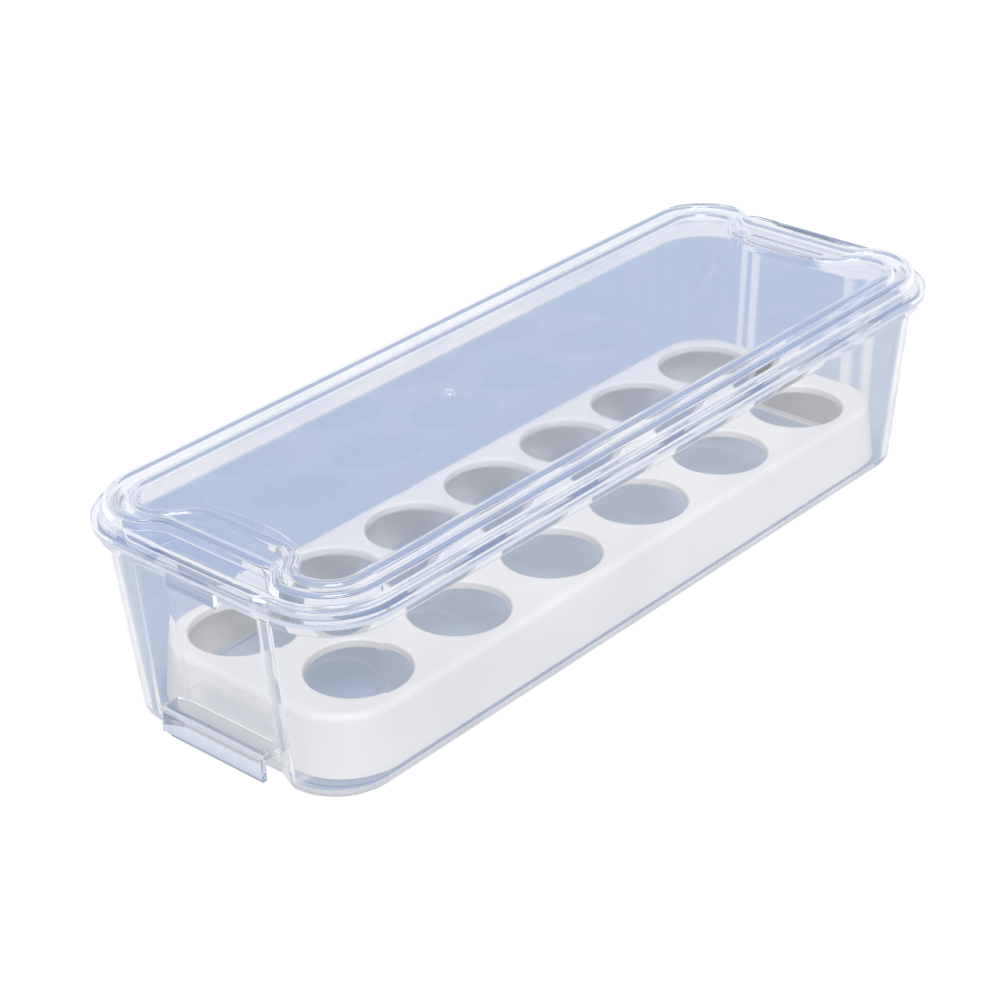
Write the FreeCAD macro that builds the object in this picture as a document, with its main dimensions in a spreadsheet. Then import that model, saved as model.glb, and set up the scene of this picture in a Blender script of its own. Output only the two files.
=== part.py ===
import FreeCAD, Part
import os
import Sketcher

V = FreeCAD.Vector
PI = 3.141592653589793
doc = FreeCAD.newDocument("egg_holder")

# Every size of the egg holder: lengths in millimetres, the draft in degrees, the rows as counts.
# The frame: X along the length, Y across, Z up; the middle of the footprint is the origin.
SIZES = [
    ("overall_length", 320), ("overall_width", 120), ("overall_height", 76),
    # bin
    ("bin_wall", 2), ("bin_floor", 2), ("end_draft", 5), ("side_draft", 5.5), ("base_radius", 20),
    ("foot_height", 1.5), ("foot_width", 2.5), ("foot_end_inset", 1.5), ("foot_side_inset", 4),
    ("foot_radius", 18), ("panel_corner_margin", 3), ("panel_slant", 5), ("panel_recess", 4),
    ("rim_height", 3.5), ("rim_overhang_length", 1.5), ("rim_overhang_width", 2.5),
    ("lip_side_overlap", 1), ("lip_reach", 9), ("lip_top", 13), ("lip_height", 9.5), ("lip_thickness", 2),
    ("lip_root_share", 0.2),
    # lid
    ("lid_rise", 9.5), ("flange_height", 3.5), ("flange_radius", 26), ("flange_overlap", 2),
    ("skirt_inset", 3), ("skirt_wall", 2), ("grip_corner_margin", 3), ("grip_slant", 4),
    ("plate_rise", 6), ("plate_height", 2), ("ridge_wall", 1.5),
    ("outer_ridge_inset", 6.5), ("outer_ridge_jog", 6.5), ("outer_ridge_corner_margin", 3),
    ("outer_ridge_slant", 7), ("outer_ridge_width", 5),
    ("inner_ridge_inset", 13.5), ("inner_ridge_jog", 11.5), ("inner_ridge_corner_margin", 5),
    ("inner_ridge_slant", 9), ("inner_ridge_width", 5), ("inner_ridge_drop", 0.5),
    ("rib_clearance", 0.5), ("rib_thickness", 1.6), ("rib_depth", 3.5),
    ("tab_width", 24), ("tab_clearance", 0.4), ("tab_drop", 5),
    # egg tray
    ("tray_end_clearance", 0.5), ("tray_side_clearance", 1.5), ("tray_radius", 21), ("tray_height", 21.5),
    ("tray_draft", 6), ("tray_wall", 2), ("tray_plate", 2), ("tray_edge_round", 2.5),
    ("hole_web", 6), ("row_web", 11), ("row_inset", 0.75), ("collar_wall", 1.5), ("collar_depth", 3),
    ("front_end_margin", 30), ("front_count", 6), ("back_end_margin", 25), ("back_count", 7),
    ("cut_overrun", 2),
]

sheet = doc.addObject("Spreadsheet::Sheet", "sizes")
for row, (alias, value) in enumerate(SIZES, start=1):
    sheet.set("A%d" % row, alias)
    sheet.set("B%d" % row, str(value))
    sheet.setAlias("B%d" % row, alias)
doc.recompute()

# Places that several pieces share, written in the sizes above.
HALF_X, HALF_Y = "sizes.overall_length / 2", "sizes.overall_width / 2"
RIM_TOP = "(sizes.overall_height - sizes.lid_rise)"
RIM_X, RIM_Y = "(%s - sizes.flange_overlap)" % HALF_X, "(%s - sizes.flange_overlap)" % HALF_Y
RIM_R = "(sizes.flange_radius - sizes.flange_overlap)"
MOUTH = ("(%s - sizes.rim_overhang_length)" % RIM_X, "(%s - sizes.rim_overhang_width)" % RIM_Y,
         "(%s - sizes.rim_overhang_length)" % RIM_R)
BASE = ("(%s - sizes.end_draft)" % MOUTH[0], "(%s - sizes.side_draft)" % MOUTH[1], "sizes.base_radius")
# The straight stretch of each short end between its rounded corners, and what stands on it.
PANEL_OUT = "(%s - %s - sizes.panel_corner_margin)" % (BASE[1], BASE[2])
PANEL_IN = "(%s - sizes.panel_slant)" % PANEL_OUT
END_FLAT = "(%s - sizes.flange_radius)" % HALF_Y
GRIP_OUT = "(%s - sizes.grip_corner_margin)" % END_FLAT
FLOOR_TOP = "(sizes.foot_height + sizes.bin_floor)"
PLATE_TOP = "(%s + sizes.plate_rise)" % RIM_TOP
PLATE_MID = "(%s - sizes.plate_height / 2)" % PLATE_TOP
TRAY = ("(%s - sizes.panel_recess - sizes.bin_wall - sizes.tray_end_clearance)" % BASE[0],
        "(%s - sizes.bin_wall - sizes.tray_side_clearance)" % BASE[1], "sizes.tray_radius")
TRAY_TOP = "(%s + sizes.tray_height)" % FLOOR_TOP
# The rows of egg holes: their distance from the middle, and the widest hole that leaves the webs between.
ROW_Y = "(%s / 2 - sizes.row_inset)" % TRAY[1]
BACK_PITCH = "(2 * (%s - sizes.back_end_margin) / (sizes.back_count - 1))" % TRAY[0]
HOLE = "min(%s - sizes.hole_web; 2 * %s - sizes.row_web)" % (BACK_PITCH, ROW_Y)


def val(expr):
    """Number of an expression written with sheet aliases, for the first drawing of a sketch."""
    return float(sheet.evalExpression(expr.replace("sizes.", "")))


def plane(body, role):
    return [f for f in body.Origin.OriginFeatures if f.Role == role][0]


def new_body(name):
    body = doc.addObject("PartDesign::Body", name)
    body.Label = name
    return body


def new_sketch(body, name, role="XY_Plane", height=None):
    sk = body.newObject("Sketcher::SketchObject", name)
    sk.AttachmentSupport = (plane(body, role), [""])
    sk.MapMode = "FlatFace"
    if height is not None:
        sk.setExpression("AttachmentOffset.Base.z", height)
    return sk


def dim(sk, kind, expr, *where):
    """Adds a measured constraint and ties it to the sheet."""
    i = sk.addConstraint(Sketcher.Constraint(kind, *where, val(expr)))
    sk.setExpression("Constraints[%d]" % i, expr)


def arc(cx, cy, r, a0, a1):
    return Part.ArcOfCircle(Part.Circle(V(cx, cy, 0), V(0, 0, 1), r), a0, a1)


def add_round_rect(sk, half_x, half_y, radius):
    """A rounded rectangle about the sketch origin."""
    a, b, r = val(half_x), val(half_y), val(radius)
    n = sk.GeometryCount
    g = [
        Part.LineSegment(V(a, r - b, 0), V(a, b - r, 0)), arc(a - r, b - r, r, 0, PI / 2),
        Part.LineSegment(V(a - r, b, 0), V(r - a, b, 0)), arc(r - a, b - r, r, PI / 2, PI),
        Part.LineSegment(V(-a, b - r, 0), V(-a, r - b, 0)), arc(r - a, r - b, r, PI, 1.5 * PI),
        Part.LineSegment(V(r - a, -b, 0), V(a - r, -b, 0)), arc(a - r, r - b, r, 1.5 * PI, 2 * PI),
    ]
    sk.addGeometry(g, False)
    C = Sketcher.Constraint
    for i in range(8):
        sk.addConstraint(C("Tangent", n + i, 2, n + (i + 1) % 8, 1))
    sk.addConstraint([C("Vertical", n), C("Vertical", n + 4), C("Horizontal", n + 2), C("Horizontal", n + 6)])
    sk.addConstraint([C("Equal", n + 1, n + 3), C("Equal", n + 1, n + 5), C("Equal", n + 1, n + 7)])
    dim(sk, "DistanceX", half_x, -1, 1, n, 1)
    dim(sk, "DistanceX", half_x, n + 4, 1, -1, 1)
    dim(sk, "DistanceY", half_y, -1, 1, n + 2, 1)
    dim(sk, "DistanceY", half_y, n + 6, 1, -1, 1)
    dim(sk, "Radius", radius, n + 1)


def add_jogged_rect(sk, half_x, half_y, radius, panel_x, span, stub):
    """A rounded rectangle whose short ends step over to x = panel_x between y = -span and +span."""
    a, b, r = val(half_x), val(half_y), val(radius)
    q, p, t = val(panel_x), val(span), val(stub)
    n = sk.GeometryCount
    L = lambda x0, y0, x1, y1: Part.LineSegment(V(x0, y0, 0), V(x1, y1, 0))
    g = [
        L(q, -p, q, p), L(q, p, a, t), L(a, t, a, b - r), arc(a - r, b - r, r, 0, PI / 2),
        L(a - r, b, r - a, b), arc(r - a, b - r, r, PI / 2, PI), L(-a, b - r, -a, t), L(-a, t, -q, p),
        L(-q, p, -q, -p), L(-q, -p, -a, -t), L(-a, -t, -a, r - b), arc(r - a, r - b, r, PI, 1.5 * PI),
        L(r - a, -b, a - r, -b), arc(a - r, r - b, r, 1.5 * PI, 2 * PI), L(a, r - b, a, -t), L(a, -t, q, -p),
    ]
    sk.addGeometry(g, False)
    C = Sketcher.Constraint
    for i in range(16):
        j = (i + 1) % 16
        tangent = i in (3, 5, 11, 13) or j in (3, 5, 11, 13)
        sk.addConstraint(C("Tangent" if tangent else "Coincident", n + i, 2, n + j, 1))
    sk.addConstraint([C("Vertical", n + i) for i in (2, 6, 10, 14)])
    sk.addConstraint([C("Horizontal", n + 4), C("Horizontal", n + 12)])
    sk.addConstraint([C("Equal", n + 3, n + 5), C("Equal", n + 3, n + 11), C("Equal", n + 3, n + 13)])
    sk.addConstraint([
        C("Symmetric", n + 2, 1, n + 14, 2, -1), C("Symmetric", n + 6, 2, n + 10, 1, -1),
        C("Symmetric", n + 2, 1, n + 6, 2, -2), C("Symmetric", n, 1, n, 2, -1),
        C("Symmetric", n + 8, 1, n + 8, 2, -1), C("Symmetric", n, 2, n + 8, 1, -2),
    ])
    dim(sk, "DistanceX", half_x, -1, 1, n + 2, 1)
    dim(sk, "DistanceY", stub, -1, 1, n + 2, 1)
    dim(sk, "DistanceX", panel_x, -1, 1, n, 2)
    dim(sk, "DistanceY", span, -1, 1, n, 2)
    dim(sk, "DistanceY", half_y, -1, 1, n + 4, 1)
    dim(sk, "DistanceY", half_y, n + 12, 1, -1, 1)
    dim(sk, "Radius", radius, n + 3)


def add_polygon(sk, points):
    """A closed polygon; each corner is a pair of expressions, kept by distances from the sketch origin."""
    pts = [(val(x), val(y)) for x, y in points]
    n = sk.GeometryCount
    k = len(pts)
    sk.addGeometry([Part.LineSegment(V(*pts[i], 0), V(*pts[(i + 1) % k], 0)) for i in range(k)], False)
    for i in range(k):
        sk.addConstraint(Sketcher.Constraint("Coincident", n + i, 2, n + (i + 1) % k, 1))
    for i, (x, y) in enumerate(points):
        dim(sk, "DistanceX", x, -1, 1, n + i, 1)
        dim(sk, "DistanceY", y, -1, 1, n + i, 1)


def loft(body, kind, name, first, last):
    f = body.newObject("PartDesign::" + kind, name)
    f.Profile = first
    f.Sections = [last]
    f.Ruled = True
    body.Tip = f
    doc.recompute()
    return f


def pad(body, name, sk, length, midplane=False):
    f = body.newObject("PartDesign::Pad", name)
    f.Profile = sk
    if midplane:
        f.SideType = "Symmetric"
    f.setExpression("Length", length)
    body.Tip = f
    doc.recompute()
    return f


def pocket(body, name, sk, length, up):
    """A cut that starts at the sketch and runs upwards or downwards."""
    f = body.newObject("PartDesign::Pocket", name)
    f.Profile = sk
    f.setExpression("Length", length)
    f.Reversed = up
    body.Tip = f
    doc.recompute()
    return f


def mirrored(body, name, original):
    f = body.newObject("PartDesign::Mirrored", name)
    f.Originals = [original]
    f.MirrorPlane = (plane(body, "YZ_Plane"), [""])
    body.Tip = f
    doc.recompute()
    return f


# Bin: a drafted clear box. Each short end has a panel set back between two slanted pleats.
bin_body = new_body("bin")
SHIFT = "(sqrt(sizes.panel_recess^2 + sizes.panel_slant^2) - sizes.panel_slant) / sizes.panel_recess"


def bin_section(name, section, height, wall=None):
    """Outline of the bin at one height, on its outside or one wall further in."""
    sk = new_sketch(bin_body, name, "XY_Plane", height)
    less = " - %s" % wall if wall else ""
    more = " + %s * %s" % (wall, SHIFT) if wall else ""
    hx, hy, r = [k + less for k in section]
    add_jogged_rect(sk, hx, hy, r, hx + " - sizes.panel_recess", PANEL_IN + more, PANEL_OUT + more)
    return sk


loft(bin_body, "AdditiveLoft", "bin_shell", bin_section("shell_base", BASE, "sizes.foot_height"),
     bin_section("shell_mouth", MOUTH, RIM_TOP))
sk = new_sketch(bin_body, "rim_outline", "XY_Plane", RIM_TOP + " - sizes.rim_height")
add_round_rect(sk, RIM_X, RIM_Y, RIM_R)
pad(bin_body, "bin_rim", sk, "sizes.rim_height")
FOOT = (BASE[0] + " - sizes.panel_recess - sizes.foot_end_inset", BASE[1] + " - sizes.foot_side_inset",
        "sizes.foot_radius")
sk = new_sketch(bin_body, "foot_outline")
add_round_rect(sk, *FOOT)
add_round_rect(sk, *[k + " - sizes.foot_width" for k in FOOT])
pad(bin_body, "bin_foot", sk, "sizes.foot_height + sizes.bin_floor / 2")
loft(bin_body, "SubtractiveLoft", "bin_cavity", bin_section("cavity_base", BASE, FLOOR_TOP, "sizes.bin_wall"),
     bin_section("cavity_mouth", MOUTH, RIM_TOP, "sizes.bin_wall"))

# Pull lip low on each end: a shelf with a plate turned down at its front, open below and at its sides.
sk = new_sketch(bin_body, "lip_profile", "XZ_Plane")
PANEL = BASE[0] + " - sizes.panel_recess"
ROOT = PANEL + " - sizes.lip_root_share * sizes.bin_wall"
FRONT = PANEL + " + sizes.lip_reach"
BACK = FRONT + " - sizes.lip_thickness"
UNDER, LOW = "sizes.lip_top - sizes.lip_thickness", "sizes.lip_top - sizes.lip_height"
add_polygon(sk, [(ROOT, UNDER), (BACK, UNDER), (BACK, LOW), (FRONT, LOW), (FRONT, "sizes.lip_top"),
                 (ROOT, "sizes.lip_top")])
lip = pad(bin_body, "far_lip", sk, "2 * (%s + sizes.lip_side_overlap)" % PANEL_IN, midplane=True)
mirrored(bin_body, "near_lip", lip)

# Lid: flat flange, raised skirt with a wider grip at each end, plate with two ridges, locating rib below.
lid_body = new_body("lid")
sk = new_sketch(lid_body, "flange_outline", "XY_Plane", RIM_TOP)
add_round_rect(sk, HALF_X, HALF_Y, "sizes.flange_radius")
pad(lid_body, "lid_flange", sk, "sizes.flange_height")
SKIRT = [k + " - sizes.skirt_inset" for k in (HALF_X, HALF_Y, "sizes.flange_radius")]
sk = new_sketch(lid_body, "skirt_outline", "XY_Plane", RIM_TOP)
add_jogged_rect(sk, *SKIRT, HALF_X, GRIP_OUT + " - sizes.grip_slant", GRIP_OUT)
pad(lid_body, "lid_skirt", sk, "sizes.plate_rise")


def ridge_ring(name, which, height, half):
    """Ring along one ridge of the lid, the same half width to each side of its centre line."""
    sk = new_sketch(lid_body, name, "XY_Plane", height)
    k = "sizes.%s_" % which
    shift = "((sqrt(%sjog^2 + %sslant^2) - %sslant) / %sjog)" % (k, k, k, k)
    stub = "%s - %scorner_margin" % (END_FLAT, k)
    for sign, back in (("+", "-"), ("-", "+")):
        edges = (HALF_X, HALF_Y, "sizes.flange_radius")
        hx, hy, r = ["%s - %sinset %s (%s)" % (h, k, sign, half) for h in edges]
        more = " %s (%s) * %s" % (back, half, shift)
        add_jogged_rect(sk, hx, hy, r, "%s - %sjog" % (hx, k), "%s - %sslant" % (stub, k) + more, stub + more)
    return sk


OUTER_TOP, INNER_TOP = "sizes.overall_height", "sizes.overall_height - sizes.inner_ridge_drop"
for which, crest in (("outer_ridge", OUTER_TOP), ("inner_ridge", INNER_TOP)):
    sk = ridge_ring(which + "_ring", which, PLATE_MID, "sizes.%s_width / 2" % which)
    pad(lid_body, which, sk, "%s - %s" % (crest, PLATE_MID))
sk = new_sketch(lid_body, "lid_hollow", "XY_Plane", RIM_TOP)
add_round_rect(sk, *[k + " - sizes.skirt_wall" for k in SKIRT])
pocket(lid_body, "lid_inside", sk, "sizes.plate_rise - sizes.plate_height", up=True)
for which, crest in (("outer_ridge", OUTER_TOP), ("inner_ridge", INNER_TOP)):
    sk = ridge_ring(which + "_core", which, RIM_TOP, "sizes.%s_width / 2 - sizes.ridge_wall" % which)
    pocket(lid_body, which + "_hollow", sk, "%s - sizes.ridge_wall - %s" % (crest, RIM_TOP), up=True)
RIB = [MOUTH[0] + " - sizes.panel_recess - sizes.bin_wall - sizes.rib_clearance"]
RIB += [k + " - sizes.bin_wall - sizes.rib_clearance" for k in MOUTH[1:]]
sk = new_sketch(lid_body, "rib_outline", "XY_Plane", RIM_TOP + " - sizes.rib_depth")
add_round_rect(sk, *RIB)
add_round_rect(sk, *[k + " - sizes.rib_thickness" for k in RIB])
pad(lid_body, "lid_rib", sk, "sizes.rib_depth + sizes.plate_rise - sizes.plate_height / 2")
sk = new_sketch(lid_body, "tab_profile", "XZ_Plane")
TAB_IN, TAB_LOW = RIM_X + " + sizes.tab_clearance", RIM_TOP + " - sizes.tab_drop"
TAB_HIGH = RIM_TOP + " + sizes.flange_height"
add_polygon(sk, [(TAB_IN, TAB_LOW), (HALF_X, TAB_LOW), (HALF_X, TAB_HIGH), (TAB_IN, TAB_HIGH)])
tab = pad(lid_body, "far_tab", sk, "sizes.tab_width", midplane=True)
mirrored(lid_body, "near_tab", tab)

# Egg tray: an upturned white shell with a row of round holes along each long side.
tray_body = new_body("egg_tray")


def drafted(made):
    made.setExpression("TaperAngle", "-sizes.tray_draft * 1 deg")
    doc.recompute()
    return made


sk = new_sketch(tray_body, "tray_base", "XY_Plane", FLOOR_TOP)
add_round_rect(sk, *TRAY)
shell = drafted(pad(tray_body, "tray_shell", sk, "sizes.tray_height"))
crown = shell.Shape.BoundBox.ZMax
near = shell.Shape.Length * 1e-6
top_edges = ["Edge%d" % i for i, e in enumerate(shell.Shape.Edges, start=1)
             if abs(e.BoundBox.ZMin - crown) < near]
f = tray_body.newObject("PartDesign::Fillet", "tray_edge")
f.Base = (shell, top_edges)
f.setExpression("Radius", "sizes.tray_edge_round")
tray_body.Tip = f
doc.recompute()
sk = new_sketch(tray_body, "inside_base", "XY_Plane", FLOOR_TOP)
add_round_rect(sk, *[k + " - sizes.tray_wall" for k in TRAY])
drafted(pocket(tray_body, "tray_inside", sk, "sizes.tray_height - sizes.tray_plate", up=True))


def hole_row(row, side):
    """Collar and hole at the near end of a row, then repeated along the length."""
    first = "%s - sizes.%s_end_margin" % (TRAY[0], row)
    radii = {"collar": HOLE + " / 2 + sizes.collar_wall", "hole": HOLE + " / 2"}
    for kind, radius in radii.items():
        sk = new_sketch(tray_body, "%s_%s_circle" % (row, kind), "XY_Plane",
                        TRAY_TOP + " - sizes.tray_plate - sizes.collar_depth")
        sk.addGeometry(Part.Circle(V(-val(first), side * val(ROW_Y), 0), V(0, 0, 1), val(radius)), False)
        dim(sk, "DistanceX", first, 0, 3, -1, 1)
        ends = (-1, 1, 0, 3) if side > 0 else (0, 3, -1, 1)
        dim(sk, "DistanceY", ROW_Y, *ends)
        dim(sk, "Radius", radius, 0)
        name = "%s_%s" % (row, kind)
        if kind == "collar":
            made = pad(tray_body, name, sk, "sizes.collar_depth + sizes.tray_plate / 2")
        else:
            depth = "sizes.collar_depth + sizes.tray_plate + sizes.cut_overrun"
            made = pocket(tray_body, name, sk, depth, up=True)
        p = tray_body.newObject("PartDesign::LinearPattern", name + "_row")
        p.Originals = [made]
        p.Direction = (sk, ["H_Axis"])
        p.setExpression("Length", "2 * (%s)" % first)
        p.setExpression("Occurrences", "sizes.%s_count" % row)
        tray_body.Tip = p
        doc.recompute()


hole_row("front", -1)
hole_row("back", 1)
doc.recompute()

# All features are checked, then each piece goes to its own file.
for obj in doc.Objects:
    if "Invalid" in obj.State or "Error" in obj.State:
        raise RuntimeError("%s is in error: %s" % (obj.Name, obj.State))
os.makedirs("parts", exist_ok=True)
for body in (bin_body, lid_body, tray_body):
    shape = body.Shape
    if shape.isNull() or not shape.isValid() or len(shape.Solids) != 1:
        raise RuntimeError("%s is not one sound solid" % body.Label)
    print(body.Label, "volume", round(shape.Volume / 1000, 1), "cm3", shape.BoundBox)
    shape.exportStep("parts/%s.step" % body.Label)
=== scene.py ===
# %% [markdown]
# # A clear egg box, step by step
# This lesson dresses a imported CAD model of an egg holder: a clear bin, a white egg tray that stands
# loose in it, and a clear lid. Sizes are written in millimetres, as on a drawing, and MM turns them
# into Blender's metres.

# %% Load the frame
import math
from collections import namedtuple

import bmesh
import bpy
from mathutils import Matrix, Vector


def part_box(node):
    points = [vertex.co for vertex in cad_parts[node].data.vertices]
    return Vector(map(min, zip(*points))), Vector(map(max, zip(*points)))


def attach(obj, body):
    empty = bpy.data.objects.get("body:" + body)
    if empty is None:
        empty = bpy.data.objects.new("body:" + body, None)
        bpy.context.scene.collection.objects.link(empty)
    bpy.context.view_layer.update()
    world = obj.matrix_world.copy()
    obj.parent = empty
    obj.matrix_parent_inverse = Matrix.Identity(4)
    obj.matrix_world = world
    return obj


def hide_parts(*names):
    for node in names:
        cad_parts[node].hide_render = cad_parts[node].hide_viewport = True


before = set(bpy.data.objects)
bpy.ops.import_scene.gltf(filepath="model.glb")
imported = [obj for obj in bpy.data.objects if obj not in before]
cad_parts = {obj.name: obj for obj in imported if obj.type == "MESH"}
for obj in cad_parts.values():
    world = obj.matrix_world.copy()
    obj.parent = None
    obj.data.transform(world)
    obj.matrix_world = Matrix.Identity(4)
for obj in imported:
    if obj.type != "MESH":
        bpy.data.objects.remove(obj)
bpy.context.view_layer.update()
MM = 0.001

# %% [markdown]
# ## Sizes from the frame
# A dressed piece has to lie where its CAD solid lies. Its outer sizes could be typed in again, but then
# they could drift apart. So they are read from the solids' boxes, and the other lines of a piece are set
# back from them. The pieces are alike at both ends and on both sides, so half sizes say enough.

# %% Sizes from the frame
def half_sizes(node):
    """Half the length, half the width and the top of a CAD node, in millimetres."""
    return [round(c / MM, 3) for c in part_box(node)[1]]


BIN_X, BIN_Y, RIM_TOP_Z = half_sizes("bin")
TRAY_X, TRAY_Y, TRAY_TOP_Z = half_sizes("egg_tray")
LID_X, LID_Y, LID_TOP_Z = half_sizes("lid")
print("half sizes and top: bin", BIN_X, BIN_Y, RIM_TOP_Z, "tray", TRAY_X, TRAY_Y, TRAY_TOP_Z,
      "lid", LID_X, LID_Y, LID_TOP_Z)

# %% [markdown]
# ## Camera first
# A product photograph like this is taken with a longish lens from above one corner. The camera could be
# placed by eye, but angles are easier to correct: it stands on a line through the middle of the box,
# given by its turn and its height angle. Two small side steps put the box where it lies in the picture,
# and the lens follows from its focal length in pixels.

# %% Camera
IMAGE_PIXELS, SENSOR_MM, FOCAL_PIXELS = 1000, 36, 2621
TURN, RISE, TILT = math.radians(-47.82), math.radians(28.47), math.radians(-1.88)
AIM_HEIGHT, DISTANCE, STEP_RIGHT, STEP_UP = 40 * MM, 891.6 * MM, -14.1 * MM, -11.7 * MM

back = Vector((math.sin(TURN) * math.cos(RISE), -math.cos(TURN) * math.cos(RISE), math.sin(RISE)))
right = Matrix.Rotation(TILT, 3, back) @ Vector((math.cos(TURN), math.sin(TURN), 0))
up = back.cross(right)
eye = back * DISTANCE + right * STEP_RIGHT + up * STEP_UP + Vector((0, 0, AIM_HEIGHT))
camera_data = bpy.data.cameras.new("photo_camera")
camera_data.sensor_width = SENSOR_MM
camera_data.lens = FOCAL_PIXELS * SENSOR_MM / IMAGE_PIXELS
camera = bpy.data.objects.new("photo_camera", camera_data)
camera.matrix_world = Matrix.Translation(eye) @ Matrix((right, up, back)).transposed().to_4x4()
bpy.context.scene.collection.objects.link(camera)
bpy.context.scene.camera = camera
print("lens", round(camera_data.lens, 1), "mm, eye", [round(c, 3) for c in eye])

# %% [markdown]
# ## Outlines
# All three pieces are mouldings that run round a rounded rectangle. On the bin and the lid, the short
# ends also step in or out in two soft S-curves, and one ridge bows between them. Each could be drawn as
# a curve of its own, but one kind of line serves for everything: half sizes, a corner radius, and a jog
# and a bow at each short end. Growing a line moves it sideways by the same distance all the way round,
# as a toolmaker offsets a curve.

# %% Lines
Line = namedtuple("Line", "half_x half_y radius jog span slant ease bow", defaults=(0,))


def grown(line, by):
    """The same line moved sideways by so many millimetres, outwards if the number is positive."""
    lean = (math.hypot(line.jog, line.slant) - line.slant) / line.jog if line.jog else 0
    return line._replace(half_x=line.half_x + by, half_y=line.half_y + by, radius=line.radius + by,
                         span=line.span - by * lean)


def between(low, high, share):
    """A line part of the way from one to the other, as on a drafted wall."""
    return Line(*[a + (b - a) * share for a, b in zip(low, high)])


print("a line is given by:", ", ".join(Line._fields))

# %% [markdown]
# ### The bin's outlines
# The bin's walls lean outwards, so that the moulding comes out of its tool. Its wall at any height lies
# between a line at the base and a line at the mouth. Each short end is a panel set back between two
# pleats. These lines come before the finishes, because the clear plastic has to know where the pleats and
# the pull lips are.

# %% Bin outlines
FOOT_Z, FLOOR_Z, LIP_LOW_Z, LIP_TOP_Z = 1.5, 3.5, 11, 13
RIM_DEPTH, BIN_WALL, INSIDE_EASE = 3.5, 2, 0.8
RIM_LOW_Z = RIM_TOP_Z - RIM_DEPTH
PLEATS = {"jog": 4, "span": 20.5, "slant": 8.5, "ease": 1.6}
STRAIGHT = {"jog": 0, "span": 22, "slant": 5, "ease": 1.2}
BASE = Line(BIN_X - 6.5, BIN_Y - 8, 20, **PLEATS)
MOUTH = Line(BIN_X - 1.5, BIN_Y - 2.5, 22.5, **PLEATS)
RIM = Line(BIN_X, BIN_Y, 24, **STRAIGHT)
FOOT = Line(BIN_X - 12, BIN_Y - 12, 18, **STRAIGHT)


def wall(height):
    """The bin's outside at one height."""
    return between(BASE, MOUTH, (height - FOOT_Z) / (RIM_TOP_Z - FOOT_Z))


def inside(height):
    """The bin's inside at one height. Its pleats bend tighter than outside, so they catch the light."""
    return grown(wall(height), -BIN_WALL)._replace(ease=INSIDE_EASE)


print("bin at the base:", 2 * BASE.half_x, "x", 2 * BASE.half_y, "mm, at the mouth:", 2 * MOUTH.half_x, "x",
      2 * MOUTH.half_y, "mm")

# %% [markdown]
# ## Rings
# A ring is a line drawn as a wire. It could be a curve object, but two curves need not have points that
# match. Here it is fourteen points, joined up, with their corners rounded by a vertex bevel. All rings
# have the same count of points, so bridging two of them gives clean quads.

# %% Rings
CORNER_STEPS, EASE_STEPS, BOW_SHARE = 12, 5, 0.8
CORNERS, MIDDLES, BENDS = (5, 6, 12, 13), (2, 9), (0, 1, 3, 4, 7, 8, 10, 11)


def ring(mesh, line, height):
    """The edges of one closed wire along the line."""
    known = set(mesh.edges)
    outer, inner, stub = line.half_x, line.half_x - line.jog, line.span + line.slant
    end = [(outer, -stub), (inner, -line.span), (inner - line.bow, 0), (inner, line.span), (outer, stub)]
    points = end + [(outer, line.half_y), (-outer, line.half_y)]
    points += [(-x, -y) for x, y in end] + [(-outer, -line.half_y), (outer, -line.half_y)]
    dots = [mesh.verts.new((x * MM, y * MM, height * MM)) for x, y in points]
    for first, second in zip(dots, dots[1:] + dots[:1]):
        mesh.edges.new((first, second))
    rounds = [(CORNERS, line.radius, CORNER_STEPS), (BENDS, line.ease, EASE_STEPS),
              (MIDDLES, BOW_SHARE * (line.span - line.ease), CORNER_STEPS)]
    for places, radius, steps in rounds:
        bmesh.ops.bevel(mesh, geom=[dots[i] for i in places], offset=radius * MM, offset_type="OFFSET",
                        segments=steps, profile=0.5, affect="VERTICES", material=-1)
    return [e for e in mesh.edges if e not in known]


sample = bmesh.new()
print("a ring has", len(ring(sample, BASE, FOOT_Z)), "edges")
sample.free()

# %% [markdown]
# ## Stacks
# A stack bridges ring after ring, like the courses of a basket. Two flat rings at one height can be
# joined the wrong way round, so the rings are drawn far apart, bridged, and then moved to their heights.
# The rings that are edges of the moulding are rounded with an edge bevel at the end. A Bevel modifier
# could do that too, but it would round every edge alike, and on a real moulding the crests are softer
# than the feet.

# %% Stacks
APART, ROUND_STEPS = 100, 4


def join(mesh, rings, heights):
    """Bridges wires that were drawn APART above each other, then moves each to its height."""
    for lower, upper in zip(rings, rings[1:]):
        bmesh.ops.bridge_loops(mesh, edges=lower + upper)
    for step, (edges, height) in enumerate(zip(rings, heights)):
        dots = list({dot for edge in edges for dot in edge.verts})
        bmesh.ops.translate(mesh, verts=dots, vec=(0, 0, (height - step * APART) * MM))


def stack(mesh, levels):
    """Joins a ring for each (line, height, rounding) and returns the rings with their roundings."""
    rings = [ring(mesh, line, step * APART) for step, (line, _, _) in enumerate(levels)]
    join(mesh, rings, [height for _, height, _ in levels])
    return [(edges, rounding) for edges, (_, _, rounding) in zip(rings, levels)]


def round_edges(mesh, edges, radius, steps):
    """Rounds some edges with a bevel."""
    bmesh.ops.bevel(mesh, geom=edges, offset=radius * MM, offset_type="OFFSET", segments=steps,
                    profile=0.5, affect="EDGES", clamp_overlap=True, material=-1)


def soften(mesh, rings):
    """Rounds every ring that has a rounding, once all faces point outwards."""
    bmesh.ops.recalc_face_normals(mesh, faces=mesh.faces)
    for edges, rounding in rings:
        if rounding:
            round_edges(mesh, [e for e in edges if e.is_valid], rounding, ROUND_STEPS)


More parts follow.
